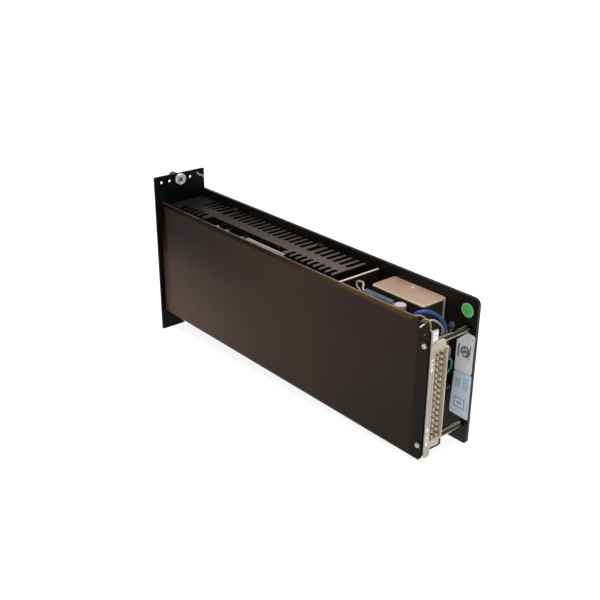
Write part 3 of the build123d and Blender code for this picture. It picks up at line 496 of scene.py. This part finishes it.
grey_plastic = surface("grey_plastic", (0.055, 0.055, 0.056), 0.5, vary=0.12, patch=60.0, grain=900.0,
                       smudge=0.15)
blue_plastic = surface("blue_sleeve", (0.02, 0.04, 0.14), 0.34, vary=0.15, patch=70.0, grain=900.0)
red_plastic = surface("red_plastic", (0.045, 0.009, 0.007), 0.45, vary=0.12, patch=70.0, grain=900.0,
                      specular=0.12)
tape = surface("yellow_tape", (0.05, 0.038, 0.014), 0.44, vary=0.15, patch=60.0, grain=700.0,
               stretch=(1.0, 0.1, 1.0))
winding = surface("copper_winding", (0.16, 0.06, 0.02), 0.34, 0.6, vary=0.2, patch=90.0, grain=900.0,
                  stretch=(1.0, 1.0, 0.2))
pad = surface("grey_pad", (0.16, 0.165, 0.18), 0.7, vary=0.12, patch=60.0, grain=900.0)
dipped = surface("dipped_capacitor", (0.54, 0.43, 0.39), 0.42, vary=0.06, patch=80.0, grain=700.0)
glass = surface("fuse_glass", (0.75, 0.80, 0.78), 0.06, vary=0.05, rough_vary=0.03, grain=300.0,
                grain_depth=0.000004)
glass.set(Transmission_Weight=0.9)

FINISHES = (
    (cover_finish(), "side_cover"),
    (plate_finish(), "heat_sink_plate"),
    (panel_finish(), "front_panel"),
    (vent_finish(), "top_vent_plate bottom_vent_plate"),
    (bulkhead_finish(), "bulkhead"),
    (lug_metal, "vent_lugs can_bracket"),
    (can_finish(), "filter_can"),
    (rod_finish(), "tie_rods"),
    (nickel, "connector_screws board_standoffs"),
    (terminal_tin, "earth_terminal"),
    (turned, "ferrules upper_retaining_ring lower_retaining_ring"),
    (screw_steel, "upper_thumb_screw lower_thumb_screw"),
    (bright_screw, "cover_screws"),
    (black_screw, "vent_screws cover_washers panel_screws heat_sink_screws"),
    (plain_aluminium, "connector_bracket corner_blocks clamp_bars shunt_resistor"),
    (shroud_finish(), "connector_shroud"),
    (socket_pale, "option_socket"),
    (pins, "connector_pins fuse_clips"),
    (rear_board, "connector_board"),
    (inner_board, "control_board power_board"),
    (black_plastic, "control_chips bulkhead_grommet board_link relay board_header power_transistors"),
    (grey_plastic, "bay_terminal_block"),
    (blue_plastic, "trimmers bus_capacitors"),
    (red_plastic, "film_capacitors status_leds"),
    (tape, "signal_transformer"),
    (winding, "ripple_choke"),
    (pad, "transistor_pads"),
    (dipped, "suppressor_capacitor"),
    (sleeve_finish(), "cable_sleeve"),
    (glass, "fuses"),
    (label_finish(), "plate_labels"),
    (tag_finish(), "connector_tags"),
    (insulation("blue_insulation", (0.020, 0.085, 0.260)), "blue_lead"),
    (insulation("lilac_insulation", (0.44, 0.38, 0.42)), "lilac_lead"),
    (insulation("pale_brown_insulation", (0.42, 0.22, 0.17)), "brown_lead"),
    (insulation("beige_insulation", (0.42, 0.31, 0.24)), "looped_lead"),
    (insulation("teal_insulation", (0.025, 0.160, 0.150)), "teal_lead"),
    (insulation("white_insulation", (0.30, 0.22, 0.20)), "white_lead"),
    (earth_finish(), "earth_lead"),
)
for finish, names in FINISHES:
    paint(names, finish)


# ---- Stage --------------------------------------------------------------------------------

# The unit rests on its panel's lower edge and on the heat-sink plate's lower rear corner.
panel_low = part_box("front_panel")[0]
plate_low = Vector((0.0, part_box("heat_sink_plate")[1][1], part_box("heat_sink_plate")[0][2]))
FLOOR_HALF = 6.0
FLOOR_GAP = 0.0002

# The surroundings grow from dim to bright over this span of the dot product with this direction.
BRIGHT_WAY = (-0.6, -0.7, 0.35)
BRIGHT_SPAN = (-0.3, 0.7)
WORLD_DIM = 0.32
WORLD_BRIGHT = 0.60

CAMERA_PLACE = Vector((0.4986, 0.7758, 0.35525))
CAMERA_TARGET = Vector((0.025, 0.2227, 0.02575))
CAMERA_LENS = 54.6
CAMERA_ROLL = math.radians(0.5)


def floor():
    """A wide pale floor under the unit's lowest edges."""
    slope = (plate_low.z - panel_low[2]) / (plate_low.y - panel_low[1])
    mesh = bpy.data.meshes.new("studio_floor")
    points = []
    for across, along in ((-1, -1), (1, -1), (1, 1), (-1, 1)):
        y = along * FLOOR_HALF
        points.append((across * FLOOR_HALF, y, panel_low[2] - FLOOR_GAP + slope * (y - panel_low[1])))
    mesh.from_pydata(points, [], [(0, 1, 2, 3)])
    ground = bpy.data.objects.new("studio_floor", mesh)
    bpy.context.collection.objects.link(ground)
    finish = Nodes("studio_floor")
    tone = finish.mix(finish.noise(3.0), (0.40, 0.40, 0.40), (0.44, 0.44, 0.44))
    finish.set(Base_Color=tone, Roughness=0.8, Specular_IOR_Level=0.05)
    finish.set(Emission_Color=(1.0, 1.0, 1.0), Emission_Strength=0.86)
    mesh.materials.append(finish.material)


def softbox(name, place, target, size, power):
    """A white area light at a place, turned to a target."""
    light = bpy.data.lights.new(name, "AREA")
    light.shape = "RECTANGLE"
    light.size, light.size_y = size
    light.energy = power
    lamp = bpy.data.objects.new(name, light)
    bpy.context.collection.objects.link(lamp)
    lamp.location = place
    lamp.rotation_euler = (Vector(target) - Vector(place)).to_track_quat("-Z", "Y").to_euler()


def world():
    """A white studio, dimmer on the side the picture is taken from."""
    surroundings = bpy.data.worlds.new("white_studio")
    surroundings.use_nodes = True
    tree = surroundings.node_tree
    background = tree.nodes["Background"]
    way = tree.nodes.new("ShaderNodeTexCoord").outputs["Generated"]
    dot = tree.nodes.new("ShaderNodeVectorMath")
    dot.operation = "DOT_PRODUCT"
    tree.links.new(way, dot.inputs[0])
    dot.inputs[1].default_value = BRIGHT_WAY
    spread = tree.nodes.new("ShaderNodeMapRange")
    tree.links.new(dot.outputs["Value"], spread.inputs[0])
    for index, value in enumerate((*BRIGHT_SPAN, WORLD_DIM, WORLD_BRIGHT), start=1):
        spread.inputs[index].default_value = value
    tree.links.new(spread.outputs[0], background.inputs["Strength"])
    background.inputs["Color"].default_value = (1.0, 1.0, 1.0, 1.0)
    bpy.context.scene.world = surroundings


def camera():
    """A camera above the rear right corner, looking down along the side cover."""
    data = bpy.data.cameras.new("camera")
    data.lens = CAMERA_LENS
    data.sensor_width = 36.0
    data.clip_start = 0.01
    seat = bpy.data.objects.new("camera", data)
    bpy.context.collection.objects.link(seat)
    aim = (CAMERA_TARGET - CAMERA_PLACE).to_track_quat("-Z", "Y").to_matrix()
    turn = aim @ Matrix.Rotation(CAMERA_ROLL, 3, "Z")
    seat.matrix_world = Matrix.Translation(CAMERA_PLACE) @ turn.to_4x4()
    bpy.context.scene.camera = seat


floor()
world()
softbox("overhead", (0.1, 0.3, 1.6), (0, 0.2, 0), (1.4, 1.4), 24.0)
camera()
bpy.context.scene.view_settings.view_transform = "Standard"
